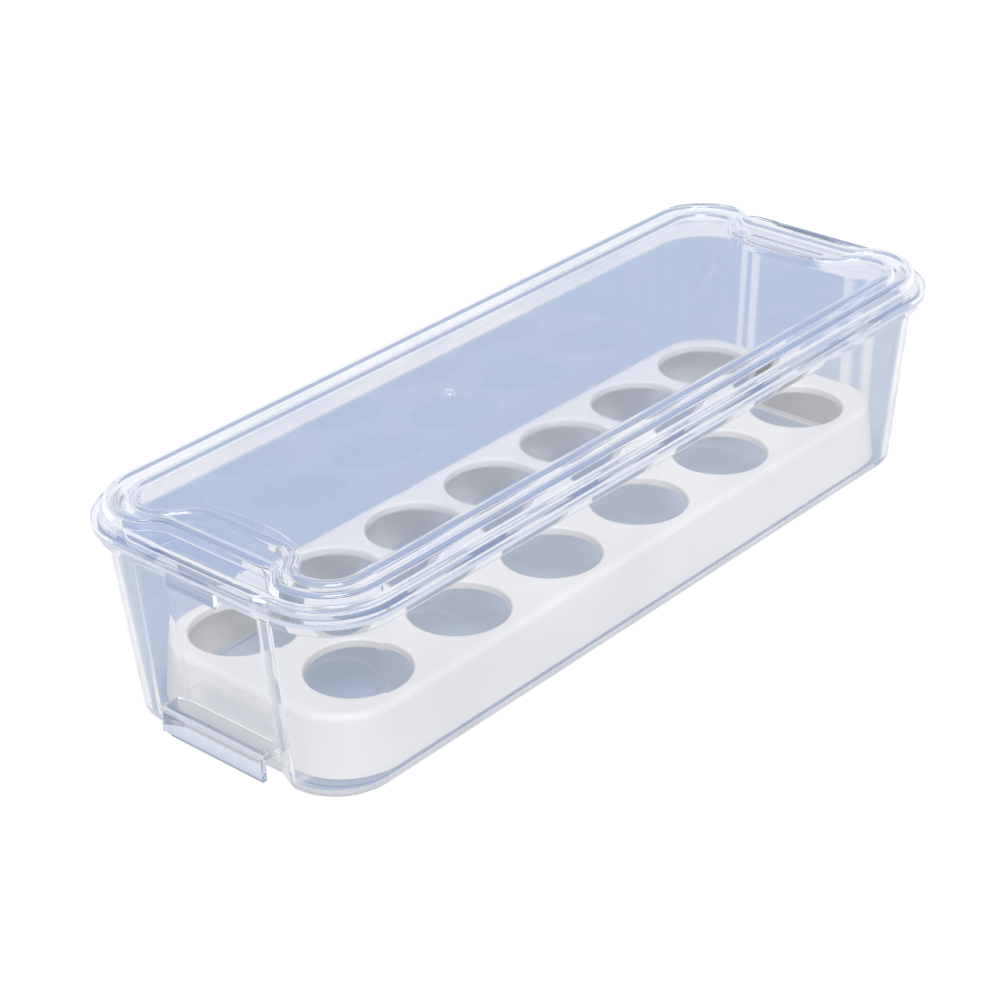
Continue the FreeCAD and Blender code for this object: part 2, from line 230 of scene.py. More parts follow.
sample = bmesh.new()
stack(sample, [(BASE, FOOT_Z, 0), (MOUTH, RIM_TOP_Z, 0)])
print("two rings make", len(sample.faces), "quads")
sample.free()

# %% [markdown]
# ## From mesh to piece
# A finished bmesh becomes an object that sits at the origin, with its place in its mesh. It rides on a
# body and stands for a CAD node. Faces are shaded smooth across gentle bends only, and a Weighted Normal
# modifier keeps the flat faces flat. More faces could do the same, but the model would get heavy.

# %% Finish a piece
MERGE_MM, SHARP_FROM = 0.002, math.radians(40)


def finish_piece(mesh, name, material, body, node):
    """Turns a bmesh into a piece that rides on a body and stands for a CAD node."""
    bmesh.ops.remove_doubles(mesh, verts=mesh.verts, dist=MERGE_MM * MM)
    bmesh.ops.dissolve_degenerate(mesh, dist=MERGE_MM * MM, edges=mesh.edges)
    bmesh.ops.recalc_face_normals(mesh, faces=mesh.faces)
    for face in mesh.faces:
        face.smooth = True
    for edge in mesh.edges:
        edge.smooth = edge.calc_face_angle(0) < SHARP_FROM
    open_edges = sum(1 for e in mesh.edges if len(e.link_faces) != 2)
    data = bpy.data.meshes.new(name)
    mesh.to_mesh(data)
    mesh.free()
    piece = bpy.data.objects.new(name, data)
    bpy.context.scene.collection.objects.link(piece)
    data.materials.append(material)
    weigh = piece.modifiers.new("flat faces stay flat", "WEIGHTED_NORMAL")
    weigh.keep_sharp = True
    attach(piece, body)
    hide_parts(node)
    print(name, len(data.polygons), "faces,", open_edges, "open edges")


print("edges look sharp from", round(math.degrees(SHARP_FROM)), "degrees")

# %% [markdown]
# ## Finishes
# The bin and the lid are clear polystyrene, injection moulded in a polished tool: they look like glass
# with a faint blue tint, and their edges gleam. The tray is white polypropylene, moulded in a finely
# eroded tool, so it has a soft satin gloss. Colours are written as they look on screen and turned to
# linear light by one function. One function adds a node, and a node that is given to it as an input is
# linked by its first output.

# %% Colour and node helpers
MATH, NOISE, RAMP, RANGE = "ShaderNodeMath", "ShaderNodeTexNoise", "ShaderNodeValToRGB", "ShaderNodeMapRange"
NOISE_LOW, NOISE_HIGH = 0.3, 0.7  # most of a noise texture's values lie between these


def linear(code):
    """Linear light for an sRGB hex colour."""
    parts = [int(code[i:i + 2], 16) / 255 for i in (1, 3, 5)]
    return [c / 12.92 if c <= 0.04045 else ((c + 0.055) / 1.055) ** 2.4 for c in parts] + [1.0]


def add(tree, kind, inputs=None, stops=(), **settings):
    """Adds a node, sets its properties and a ramp's stops, and fills or links its inputs."""
    node = tree.nodes.new(kind)
    for key, value in settings.items():
        setattr(node, key, value)
    for key, value in (inputs or {}).items():
        if isinstance(value, bpy.types.Node):
            value = value.outputs[0]
        if isinstance(value, bpy.types.NodeSocket):
            tree.links.new(value, node.inputs[key])
        else:
            node.inputs[key].default_value = value
    if stops:
        elements = node.color_ramp.elements
        elements[0].position, elements[0].color = stops[0]
        elements[1].position, elements[1].color = stops[-1]
        for position, colour in stops[1:-1]:
            elements.new(position).color = colour
    return node


def new_material(name):
    """An empty node material and its tree."""
    material = bpy.data.materials.new(name)
    material.use_nodes = True
    material.node_tree.nodes.clear()
    return material, material.node_tree


print("mid grey in linear light:", round(linear("#808080")[0], 3))

# %% [markdown]
# ### Painted shade on the clear plastic
# Clear polystyrene is not quite colourless: the more of it the light has passed, the bluer it looks. A
# volume shader could work that out, but it is slow, and walls of 2 mm would hardly show it. The deeper
# blue-grey here is painted shade, much stronger than the plastic's own tint. It goes on walls that are
# seen through another wall, which the Light Path node tells by the faces that a ray has passed, on faces
# seen edge-on, along the foot, and on the plates of the pull lips. All from just below the rim upwards
# stays pale, and so does the top of each lip. Two bands on each pleat, where the bend throws the light
# aside, are painted highlights: the painted shade is lifted there. These places are given in
# millimetres, so they stay put on the piece from every side.

# %% Painted shade
WALL_PASSED = 1.5  # rays that have passed more faces than this come through a wall
PALE_FROM_Z, LIP_ZONE_X, LIP_ZONE_TOP_Z, END_WALL_X = RIM_LOW_Z - 2, 140, LIP_TOP_Z + 1, 143
PLEAT_Y, PLEAT_HALF = BASE.span + BASE.slant / 2, 6
# The pale bands on the pleats are painted highlights: the share of painted shade dips there.
PLEAT_HIGHLIGHTS = [(0.2, 1.0), (0.35, 0.35), (0.85, 0.35), (1.0, 1.0)]  # from the pleat's middle to its side
# Edge-on faces, the foot and the lip plates take these shares of the painted shade.
EDGE_FROM, EDGE_TO, EDGE_PAINTED_SHADE = 0.62, 0.95, 0.8
PAINTED_SHADE_FROM_Z, FOOT_TO_Z, FOOT_PAINTED_SHADE = 2, 9, 0.25
LIP_PLATE_X, LIP_TO_Z, LIP_PLATE_PAINTED_SHADE = BASE.half_x + 2.5, LIP_TOP_Z + 1.5, 1.0


def pleat_highlights(tree, along, aside):
    """The share of the painted shade that the pleats keep: all of it, apart from two bands of painted
    highlight on each.
    """
    across = add(tree, MATH, {0: aside, 1: PLEAT_Y * MM}, operation="SUBTRACT")
    reach = add(tree, MATH, {0: across}, operation="ABSOLUTE")
    share = add(tree, MATH, {0: reach, 1: PLEAT_HALF * MM}, operation="DIVIDE")
    greys = [(spot, (left, left, left, 1.0)) for spot, left in PLEAT_HIGHLIGHTS]
    bands = add(tree, RAMP, {"Fac": share}, stops=greys)
    off_the_ends = add(tree, MATH, {0: along, 1: END_WALL_X * MM}, operation="LESS_THAN")
    return add(tree, MATH, {0: bands, 1: off_the_ends}, operation="MAXIMUM")


def low_share(tree, along, aside, height):
    """1 on the walls below the rim, 0 above them and round the tops of the lips."""
    at_end = add(tree, MATH, {0: along, 1: LIP_ZONE_X * MM}, operation="GREATER_THAN")
    at_foot = add(tree, MATH, {0: height, 1: LIP_ZONE_TOP_Z * MM}, operation="LESS_THAN")
    in_panel = add(tree, MATH, {0: aside, 1: PLEAT_Y * MM}, operation="LESS_THAN")
    low_end = add(tree, MATH, {0: at_end, 1: at_foot}, operation="MULTIPLY")
    at_lip = add(tree, MATH, {0: low_end, 1: in_panel}, operation="MULTIPLY")
    under_rim = add(tree, MATH, {0: height, 1: PALE_FROM_Z * MM}, operation="LESS_THAN")
    return add(tree, MATH, {0: under_rim, 1: at_lip}, operation="SUBTRACT")


def painted_shade_on_face(tree, along, height):
    """How much painted shade a face has itself: seen edge-on, along the foot, on a lip's plate."""
    facing = add(tree, "ShaderNodeLayerWeight", {"Blend": 0.5}).outputs["Facing"]
    edge = add(tree, RANGE, {"Value": facing, "From Min": EDGE_FROM, "From Max": EDGE_TO,
                             "To Max": EDGE_PAINTED_SHADE})
    foot = add(tree, RANGE, {"Value": height, "From Min": PAINTED_SHADE_FROM_Z * MM, "From Max": FOOT_TO_Z * MM,
                             "To Min": FOOT_PAINTED_SHADE, "To Max": 0.0})
    drop = add(tree, RANGE, {"Value": height, "From Min": PAINTED_SHADE_FROM_Z * MM, "From Max": LIP_TO_Z * MM,
                             "To Min": LIP_PLATE_PAINTED_SHADE, "To Max": 0.0})
    on_plate = add(tree, MATH, {0: along, 1: LIP_PLATE_X * MM}, operation="GREATER_THAN")
    lip = add(tree, MATH, {0: drop, 1: on_plate}, operation="MULTIPLY")
    low = add(tree, MATH, {0: foot, 1: lip}, operation="MAXIMUM")
    return add(tree, MATH, {0: edge, 1: low}, operation="MAXIMUM")


def painted_shade_share(tree, place, path):
    """How much blue-grey painted shade a face shows, from 0 to 1."""
    axes = add(tree, "ShaderNodeSeparateXYZ", {"Vector": place}).outputs
    along = add(tree, MATH, {0: axes["X"]}, operation="ABSOLUTE")
    aside = add(tree, MATH, {0: axes["Y"]}, operation="ABSOLUTE")
    passed = add(tree, MATH, {0: path["Transmission Depth"], 1: WALL_PASSED}, operation="GREATER_THAN")
    pleats = pleat_highlights(tree, along, aside)
    low = low_share(tree, along, aside, axes["Z"])
    walls = add(tree, MATH, {0: pleats, 1: low}, operation="MULTIPLY")
    behind = add(tree, MATH, {0: passed, 1: walls}, operation="MULTIPLY")
    itself = painted_shade_on_face(tree, along, axes["Z"])
    return add(tree, MATH, {0: behind, 1: itself}, operation="MAXIMUM")


print("pale bands lie", PLEAT_Y, "mm from the middle, give or take", PLEAT_HALF, "mm")

# %% [markdown]
# ### Clear polystyrene
# Polystyrene bends light a little more than glass does, with an IOR of 1.59. A moulded wall is never
# quite even, so the surface gets a slow swell about 40 mm long, drawn a little stronger than the real one
# so that it shows, and a faint haze that varies over about 9 mm.
#
# A plain glass shader would turn the stacked walls of this box black at their edges, because a ray that
# is bent many times runs out of bounces. So a ray that has been bent a few times goes straight on, and
# takes one face's share of the tint, which is the square root of the colour. The lid's ridges look clean
# after two bends, and the bin needs three. Light from the lamps goes straight through as well, because
# clear plastic hardly casts a shadow.

# %% Clear plastic
SWELL_MM, SWELL_RISE_MM, SWELL_STRENGTH, HAZE_MM = 40, 0.4, 0.25, 9
STYRENE_IOR, GLOSS_LOW, GLOSS_HIGH, ONE_FACE = 1.59, 0.015, 0.05, 0.5


def straight_rays(tree, path, body, colour, shade, bends):
    """Lets rays through unbent: those of the lamps, and those that have been bent often enough."""
    one_face = add(tree, "ShaderNodeGamma", {"Color": colour, "Gamma": ONE_FACE})
    onward = add(tree, "ShaderNodeBsdfTransparent", {"Color": one_face.outputs["Color"]})
    bent = add(tree, MATH, {0: path["Ray Depth"], 1: bends - 0.5}, operation="GREATER_THAN")
    sight = add(tree, "ShaderNodeMixShader", {0: bent, 1: body, 2: onward})
    lamp = add(tree, "ShaderNodeBsdfTransparent", {"Color": linear(shade)})
    lit = add(tree, MATH, {0: path["Is Shadow Ray"], 1: path["Diffuse Depth"]}, operation="MAXIMUM")
    return add(tree, "ShaderNodeMixShader", {0: lit, 1: sight, 2: lamp})


def clear_plastic(name, pale, deep, far, shade, bends):
    """Clear moulded polystyrene that swells between two tints, with a blue-grey painted shade as its deepest
    colour.
    """
    material, tree = new_material(name)
    place = add(tree, "ShaderNodeTexCoord").outputs["Object"]
    path = add(tree, "ShaderNodeLightPath").outputs
    swell = add(tree, NOISE, {"Vector": place, "Scale": 1 / (SWELL_MM * MM), "Detail": 1.0})
    haze = add(tree, NOISE, {"Vector": place, "Scale": 1 / (HAZE_MM * MM), "Detail": 3.0})
    tint = add(tree, RAMP, {"Fac": swell}, stops=[(NOISE_LOW, linear(deep)), (NOISE_HIGH, linear(pale))])
    rough = add(tree, RANGE, {"Value": haze, "From Min": NOISE_LOW, "From Max": NOISE_HIGH,
                              "To Min": GLOSS_LOW, "To Max": GLOSS_HIGH})
    bump = add(tree, "ShaderNodeBump", {"Height": swell, "Strength": SWELL_STRENGTH,
                                        "Distance": SWELL_RISE_MM * MM})
    # Where the painted shade share is high, the tint gives way to the blue-grey painted shade colour.
    mixed = add(tree, "ShaderNodeMix", {0: painted_shade_share(tree, place, path), 6: tint, 7: linear(far)},
                data_type="RGBA")
    colour = mixed.outputs[2]
    body = add(tree, "ShaderNodeBsdfPrincipled", {
        "Base Color": colour, "Roughness": rough, "IOR": STYRENE_IOR, "Transmission Weight": 1.0,
        "Normal": bump})
    add(tree, "ShaderNodeOutputMaterial", {"Surface": straight_rays(tree, path, body, colour, shade, bends)})
    return material


# The fourth colour, far, is the blue-grey painted shade; the lid's is much paler.
clear_bin = clear_plastic("clear moulded polystyrene, bin", pale="#f6f6f7", deep="#eff0f2",
                          far="#b3c2da", shade="#f8f8f9", bends=3)
clear_lid = clear_plastic("clear moulded polystyrene, lid", pale="#fcfcfe", deep="#f6f8fc",
                          far="#e3eaf5", shade="#fdfdfe", bends=2)
print("clear plastics:", clear_bin.name, "and", clear_lid.name)

# %% [markdown]
# ### White polypropylene
# The tray's plastic is a bright neutral white with a satin gloss. A plain white shader would look like
# paper. The eroded tool leaves a fine grain that breaks up the gloss: the real one is a few hundredths of
# a millimetre, so here it is drawn at 0.8 mm, coarse enough to show. The white varies a little over 30 mm.

# %% White plastic
GRAIN_MM, GRAIN_RISE_MM, GRAIN_STRENGTH, CLOUD_MM = 0.8, 0.05, 0.08, 30
PROPYLENE_IOR, SATIN_LOW, SATIN_HIGH = 1.49, 0.30, 0.42

white_tray, tree = new_material("white satin polypropylene")
place = add(tree, "ShaderNodeTexCoord").outputs["Object"]
grain = add(tree, NOISE, {"Vector": place, "Scale": 1 / (GRAIN_MM * MM), "Detail": 2.0})
cloud = add(tree, NOISE, {"Vector": place, "Scale": 1 / (CLOUD_MM * MM), "Detail": 2.0})
white = add(tree, RAMP, {"Fac": cloud},
            stops=[(NOISE_LOW, linear("#f3f4f5")), (NOISE_HIGH, linear("#fafafb"))])
rough = add(tree, RANGE, {"Value": grain, "From Min": NOISE_LOW, "From Max": NOISE_HIGH,
                          "To Min": SATIN_LOW, "To Max": SATIN_HIGH})
bump = add(tree, "ShaderNodeBump", {"Height": grain, "Strength": GRAIN_STRENGTH,
                                    "Distance": GRAIN_RISE_MM * MM})
satin = add(tree, "ShaderNodeBsdfPrincipled", {
    "Base Color": white, "Roughness": rough, "IOR": PROPYLENE_IOR, "Normal": bump})
add(tree, "ShaderNodeOutputMaterial", {"Surface": satin})
print("white plastic:", white_tray.name)

# %% [markdown]
# ## The bin
# The bin is one clear moulding with drafted walls, a rim round its mouth and a low ring under its floor.
# A box with a Solidify modifier could give the walls, but not the rim, the ring and the pleats at once.
# So it is one stack: it starts in the middle of the underside, goes out over the foot ring, up the
# outside, over the rim and down the inside to the floor. Each row gives a line, a height and a rounding.

# %% Bin shell
FOOT_WIDTH, HAIR = 2.5, 0.05  # a hair's breadth keeps the dressed pieces inside the CAD box

bin_mesh = bmesh.new()
bin_rings = stack(bin_mesh, [
    (grown(FOOT, -FOOT_WIDTH), FOOT_Z, 0),
    (grown(FOOT, -FOOT_WIDTH), HAIR, 0.4),
    (FOOT, HAIR, 0.4),
    (FOOT, FOOT_Z, 0.4),
    (BASE, FOOT_Z, 2.2),
    (wall(LIP_LOW_Z), LIP_LOW_Z, 0),
    (wall(LIP_TOP_Z), LIP_TOP_Z, 0),
    (wall(RIM_LOW_Z), RIM_LOW_Z, 0.5),
    (RIM, RIM_LOW_Z, 0.7),
    (RIM, RIM_TOP_Z, 0.9),
    (inside(RIM_TOP_Z), RIM_TOP_Z, 0.5),
    (inside(FLOOR_Z), FLOOR_Z, 0.4)])
bmesh.ops.edgeloop_fill(bin_mesh, edges=bin_rings[0][0])
bmesh.ops.edgeloop_fill(bin_mesh, edges=bin_rings[-1][0])
bmesh.ops.recalc_face_normals(bin_mesh, faces=bin_mesh.faces)
print("bin shell:", len(bin_mesh.faces), "faces before rounding")

# %% [markdown]
# ### Pull lips
# A lip low on each end lets the box be drawn off a shelf. It could be a block of its own, but on the
# moulding it grows out of the panel. So the strip of wall between the lip's two heights is pulled
# outwards in three steps, and the underside of the last step is pulled down for the front plate. The
# lip and the wall are then one piece of plastic, with no seam.

# %% Bin lips
LIP_REACH, LIP_PLATE, LIP_HALF, LIP_DROP, LIP_ROOT = 9, 2, 22.6, 7.5, 1.4
PANEL_FROM_X, LIP_STRIP_HALF = BASE.half_x - BASE.jog - 0.5, 19.2
LIP_ROUND, SMALL_STEPS = 0.6, 3
CREASE, DOWNWARDS, FLAT = 1.0, -0.9, 0.01  # a bend in radians, a normal, and a slack in millimetres


def at_height(face, height):
    """True for a face whose middle lies at this height."""
    return abs(face.calc_center_median().z - height * MM) < FLAT * MM


def end_faces(mesh, side, beyond, height, half):
    """Faces at one height that lie beyond x at one end and within half to both sides of the middle."""
    level = [f for f in mesh.faces if at_height(f, height)]
    outer = [f for f in level if f.calc_center_median().x * side > beyond * MM]
    return [f for f in outer if max(abs(v.co.y) for v in f.verts) < half * MM]


def pull(mesh, faces, move):
    """Extrudes faces, moves the new ones, and returns them."""
    made = bmesh.ops.extrude_face_region(mesh, geom=faces)["geom"]
    dots = [m for m in made if isinstance(m, bmesh.types.BMVert)]
    bmesh.ops.translate(mesh, verts=dots, vec=Vector(move) * MM)
    bmesh.ops.delete(mesh, geom=faces, context="FACES")
    return [m for m in made if isinstance(m, bmesh.types.BMFace)]


def corners(faces):
    """The vertices of some faces."""
    return {v for f in faces for v in f.verts}


def creases(dots):
    """The sharp edges that meet at some vertices."""
    return {e for v in dots for e in v.link_edges if e.calc_face_angle(0) > CREASE}


lip_edges = set()
for side in (-1, 1):
    strip = end_faces(bin_mesh, side, PANEL_FROM_X, (LIP_LOW_Z + LIP_TOP_Z) / 2, LIP_STRIP_HALF)
    strip = pull(bin_mesh, strip, (side * LIP_ROOT, 0, 0))
    stretch = LIP_HALF * MM / max(v.co.y for v in corners(strip))
    for dot in corners(strip):
        dot.co.y *= stretch
    strip = pull(bin_mesh, strip, (side * (LIP_REACH - LIP_PLATE - LIP_ROOT), 0, 0))
    tip = corners(pull(bin_mesh, strip, (side * LIP_PLATE, 0, 0)))
    under = {f for v in tip for f in v.link_faces if f.normal.z < DOWNWARDS or at_height(f, LIP_LOW_Z)}
    plate = corners(pull(bin_mesh, list(under), (0, 0, -LIP_DROP)))
    lip_edges |= creases(tip | plate)
print("pull lips:", len(lip_edges), "edges to round")
round_edges(bin_mesh, list(lip_edges), LIP_ROUND, SMALL_STEPS)
soften(bin_mesh, bin_rings)
finish_piece(bin_mesh, "clear_bin", clear_bin, "bin", "bin")

# %% [markdown]
# ## The egg tray
# The tray is an upturned white shell with drafted sides and a softly rounded top edge. Each egg hole has
# a short collar below. A Boolean modifier could cut the holes, but its edges are hard to round. So the
# top is filled between the outline and the circles of the holes, which are really open, and the rounded
# edges are rings of their own.

# %% Tray outline and holes
TRAY_GAP, TRAY_PLATE, TRAY_WALL, TRAY_EDGE = 0.1, 2, 2, 2.5
HOLE_R, HOLE_EDGE, HOLE_TAPER, COLLAR_R, COLLAR_DEPTH = 17, 0.9, 0.25, 18.5, 3
ROW_Y, FRONT_HOLES, FRONT_PITCH, BACK_HOLES, BACK_PITCH = 22.5, 6, 46, 7, 40
HOLE_STEPS, QUARTER_STEPS = 64, 5
DRAFT = math.tan(math.radians(6))
TRAY = Line(TRAY_X, TRAY_Y, 21, jog=0, span=15, slant=5, ease=1.0)
TRAY_LOW_Z = FLOOR_Z + TRAY_GAP
PLATE_UNDER_Z, COLLAR_LOW_Z = TRAY_TOP_Z - TRAY_PLATE, TRAY_TOP_Z - COLLAR_DEPTH


def row(count, pitch):
    """Places along the tray for so many holes, centred and the same distance apart."""
    return [pitch * (step - (count - 1) / 2) for step in range(count)]


def circle(mesh, x, y, radius, height):
    """The edges of a wire circle."""
    spot = Matrix.Translation((x * MM, y * MM, height * MM))
    drawn = bmesh.ops.create_circle(mesh, radius=radius * MM, segments=HOLE_STEPS, cap_ends=False,
                                    matrix=spot)
    return list({edge for dot in drawn["verts"] for edge in dot.link_edges})


def quarter(radius):
    """Steps of a quarter round from a flat top to an upright side, as (sideways, down) from its corner."""
    turns = [math.radians(90 * step / QUARTER_STEPS) for step in range(QUARTER_STEPS + 1)]
    return [(radius * (1 - math.sin(turn)), radius * (1 - math.cos(turn))) for turn in turns]


egg_places = [(x, -ROW_Y) for x in row(FRONT_HOLES, FRONT_PITCH)]
egg_places += [(x, ROW_Y) for x in row(BACK_HOLES, BACK_PITCH)]
print("egg holes:", len(egg_places))

# %% [markdown]
# ### The tray's mesh
# The shell is a stack that starts at the top, goes over the rounded edge and down the side, and comes
# back up the inside. Each hole is a small stack of circles. The two open ends of all these stacks then
# lie in two planes, the top of the plate and its underside, and each plane is filled in one go.

# %% Tray
tray_mesh = bmesh.new()
rise = TRAY_TOP_Z - TRAY_LOW_Z
crown = [(grown(TRAY, -DRAFT * (rise - down) - aside), TRAY_TOP_Z - down, 0)
         for aside, down in quarter(TRAY_EDGE)]
tray_rings = stack(tray_mesh, crown + [
    (TRAY, TRAY_LOW_Z, 0.4),
    (grown(TRAY, -TRAY_WALL), TRAY_LOW_Z, 0.4),
    (grown(TRAY, -TRAY_WALL - DRAFT * (rise - TRAY_PLATE)), PLATE_UNDER_Z, 0)])
collar = [(HOLE_R + aside, TRAY_TOP_Z - down, 0) for aside, down in quarter(HOLE_EDGE)]
collar += [(HOLE_R - HOLE_TAPER, COLLAR_LOW_Z, 0.4), (COLLAR_R, COLLAR_LOW_Z, 0.4),
           (COLLAR_R, PLATE_UNDER_Z, 0)]
top_wires, under_wires = list(tray_rings[0][0]), list(tray_rings[-1][0])
for x, y in egg_places:
    rings = [circle(tray_mesh, x, y, radius, step * APART) for step, (radius, _, _) in enumerate(collar)]
    join(tray_mesh, rings, [height for _, height, _ in collar])
    tray_rings += [(edges, rounding) for edges, (_, _, rounding) in zip(rings, collar)]
    top_wires += rings[0]
    under_wires += rings[-1]
for wires in (top_wires, under_wires):
    bmesh.ops.triangle_fill(tray_mesh, use_beauty=True, edges=wires)
soften(tray_mesh, tray_rings)
finish_piece(tray_mesh, "white_egg_tray", white_tray, "egg_tray", "egg_tray")

# %% [markdown]
# ## The lid's outlines
# The lid lies on the rim. From outside to inside it has a flange, a raised skirt that widens to a grip at
# each end, and two hollow ridges whose ends swing inwards, with a flat panel in the middle. All of them
# follow the lid's edge, so each is that line, set back and given its own ends. A ridge stands on the plate
# with a crest a little narrower than its foot, and the hollow below it keeps the wall even, as a moulding
# needs.

# %% Lid outlines
LID_GAP, FLANGE_DEPTH, LID_WALL, RIDGE_RISE, INNER_LOWER, RIB_DEPTH = 0.15, 3.5, 2, 3.5, 0.5, 3.5
FLANGE_LOW_Z, FLANGE_TOP_Z = RIM_TOP_Z + LID_GAP, RIM_TOP_Z + FLANGE_DEPTH
PLATE_TOP_Z, INNER_TOP_Z = LID_TOP_Z - RIDGE_RISE, LID_TOP_Z - INNER_LOWER
PLATE_LOW_Z, RIB_LOW_Z = PLATE_TOP_Z - LID_WALL, RIM_TOP_Z - RIB_DEPTH
LID_EDGE = Line(LID_X, LID_Y, 26, jog=0, span=12, slant=8, ease=2.0)
FLANGE = grown(LID_EDGE, -HAIR)
SKIRT = grown(LID_EDGE, -3)._replace(jog=-2.6, span=27, slant=4, ease=1.8)
HOLLOW = grown(LID_EDGE, -5)._replace(jog=0, span=27, slant=4, ease=1.8)
OUTER = grown(LID_EDGE, -6.5)._replace(jog=6.5, span=24, slant=7, ease=3.4)
INNER = grown(LID_EDGE, -13.5)._replace(jog=11.5, span=20, slant=9, ease=4.8)
BOWED = INNER._replace(bow=4.5)
RIDGE_FOOT, RIDGE_CREST, RIDGE_ROOF, HOLLOW_FOOT, HOLLOW_CREST = 2.5, 2.0, 1.5, 1.0, 0.8
FOOT_ROUND, TIGHT_ROUND, CREST_ROUND, HOLLOW_ROUND = 0.5, 0.4, 1.5, 0.5


def ridge(inner_side, outer_side, top, last_round):
    """The rings over a ridge, from its inner foot to its outer foot."""
    return [(grown(inner_side, -RIDGE_FOOT), PLATE_TOP_Z, FOOT_ROUND),
            (grown(inner_side, -RIDGE_CREST), top, CREST_ROUND),
            (grown(outer_side, RIDGE_CREST), top, CREST_ROUND),
            (grown(outer_side, RIDGE_FOOT), PLATE_TOP_Z, last_round)]


def hollow(line, top):
    """The rings of the hollow below a ridge, from its outer foot to its inner foot."""
    roof = top - RIDGE_ROOF
    return [(grown(line, HOLLOW_FOOT), PLATE_LOW_Z, 0), (grown(line, HOLLOW_CREST), roof, HOLLOW_ROUND),
            (grown(line, -HOLLOW_CREST), roof, HOLLOW_ROUND), (grown(line, -HOLLOW_FOOT), PLATE_LOW_Z, 0)]


print("ridges stand", RIDGE_RISE, "and", RIDGE_RISE - INNER_LOWER, "mm above the plate")

# %% [markdown]
# ### The lid's shell
# The stack runs from the panel over the top to the flange, and comes back below it, round the thin rib
# that keeps the lid from sliding, and up into the hollow of each ridge. The gate mark, a low ring where
# the plastic was let into the tool, lies off the middle of the panel. It is a stack of circles, and the
# panel is filled round it. A bump in the material would be simpler, but it would be lost on a clear face.

# %% Lid shell
TAB_WALL, RIB_OUT, RIB_IN, RIB_DRAFT = 1.6, 1.9, 3.3, 0.1
GATE = (-25.5, 17.5)
GATE_RING = [(7.6, 0), (7.2, 0.15), (2.7, 0.15), (2.4, 0.5), (1.7, 0.5), (1.4, -0.2)]  # radius, rise

# The outer ridge has little room for a rounding beside the skirt.
over = ridge(BOWED, INNER, INNER_TOP_Z, FOOT_ROUND) + ridge(OUTER, OUTER, LID_TOP_Z, TIGHT_ROUND)
over += [(SKIRT, PLATE_TOP_Z, 0.9), (SKIRT, FLANGE_TOP_Z, 0.5), (FLANGE, FLANGE_TOP_Z, 0.8)]
below = [(FLANGE, FLANGE_LOW_Z, 0.5), (grown(FLANGE, -TAB_WALL), FLANGE_LOW_Z, 0),
         (HOLLOW, FLANGE_LOW_Z, 0.3), (HOLLOW, PLATE_LOW_Z, 0.5)]
rib = [(grown(OUTER, -RIB_OUT), PLATE_LOW_Z, 0), (grown(OUTER, -RIB_OUT - RIB_DRAFT), RIB_LOW_Z, 0.4),
       (grown(OUTER, -RIB_IN + RIB_DRAFT), RIB_LOW_Z, 0.4), (grown(OUTER, -RIB_IN), PLATE_LOW_Z, 0)]
below += hollow(OUTER, LID_TOP_Z) + rib + hollow(INNER, INNER_TOP_Z)
lid_mesh = bmesh.new()
lid_rings = stack(lid_mesh, over + below)
bmesh.ops.edgeloop_fill(lid_mesh, edges=lid_rings[-1][0])
gate = [circle(lid_mesh, *GATE, radius, step * APART) for step, (radius, _) in enumerate(GATE_RING)]
join(lid_mesh, gate, [PLATE_TOP_Z + height for _, height in GATE_RING])
bmesh.ops.edgeloop_fill(lid_mesh, edges=gate[-1])
bmesh.ops.triangle_fill(lid_mesh, use_beauty=True, edges=lid_rings[0][0] + gate[0])
bmesh.ops.recalc_face_normals(lid_mesh, faces=lid_mesh.faces)
print("lid shell:", len(lid_mesh.faces), "faces before rounding")

# %% [markdown]
# ### Lift tabs and ledges
# In the middle of each end, the flange turns down over the rim in a small tab for a fingertip. It is
# pulled down out of the flange's underside, as the lips were, so it is part of the lid. On top, the ledge
# between ridge and grip has a shallow sunk field: the ledge's faces are inset and moved down a little.

# %% Lid tabs
TAB_FROM_X, TAB_HALF, TAB_DROP, TAB_ROUND = LID_X - 1.7, 11, 5, 0.5
LEDGE_FROM_X, LEDGE_HALF, LEDGE_EDGE, LEDGE_SINK = LID_X - 10, 22.5, 2.2, 0.6

tab_edges = set()
for side in (-1, 1):
    flange_strip = end_faces(lid_mesh, side, TAB_FROM_X, FLANGE_LOW_Z, TAB_HALF)
    tab_edges |= creases(corners(pull(lid_mesh, flange_strip, (0, 0, -TAB_DROP))))
for side in (-1, 1):
    ledge = end_faces(lid_mesh, side, LEDGE_FROM_X, PLATE_TOP_Z, LEDGE_HALF)
    bmesh.ops.inset_region(lid_mesh, faces=ledge, thickness=LEDGE_EDGE * MM, use_even_offset=True)
    bmesh.ops.translate(lid_mesh, verts=list(corners(ledge)), vec=(0, 0, -LEDGE_SINK * MM))
print("lift tabs:", len(tab_edges), "edges to round")
round_edges(lid_mesh, list(tab_edges), TAB_ROUND, SMALL_STEPS)
soften(lid_mesh, lid_rings)
finish_piece(lid_mesh, "clear_lid", clear_lid, "lid", "lid")

# %% [markdown]
# ## Stage
# The box stands on a pale paper sweep. Clear plastic shows whatever lies behind it, so the sweep has two
# versions. Rays that are seen, which come from the camera, a reflection or through a wall, meet paper
# that glows nearly white and keeps a soft shadow. Rays that gather light meet plain matt paper, so the
# glow puts no extra light on the object. More light could make the floor white too, but it would also
# wash out the white tray.

# %% Floor
FLOOR_HALF_M, GLOW = 4.0, 0.58


def seen_ray(tree):
    """1 for rays that the camera, a reflection or a clear wall sends out, 0 for rays that gather light."""
    path = add(tree, "ShaderNodeLightPath").outputs
    first = add(tree, MATH, {0: path["Is Camera Ray"], 1: path["Is Glossy Ray"]}, operation="MAXIMUM")
    any_of = add(tree, MATH, {0: first, 1: path["Is Transmission Ray"]}, operation="MAXIMUM")
    direct = add(tree, MATH, {0: path["Diffuse Depth"], 1: 0.5}, operation="LESS_THAN")
    return add(tree, MATH, {0: any_of, 1: direct}, operation="MULTIPLY")


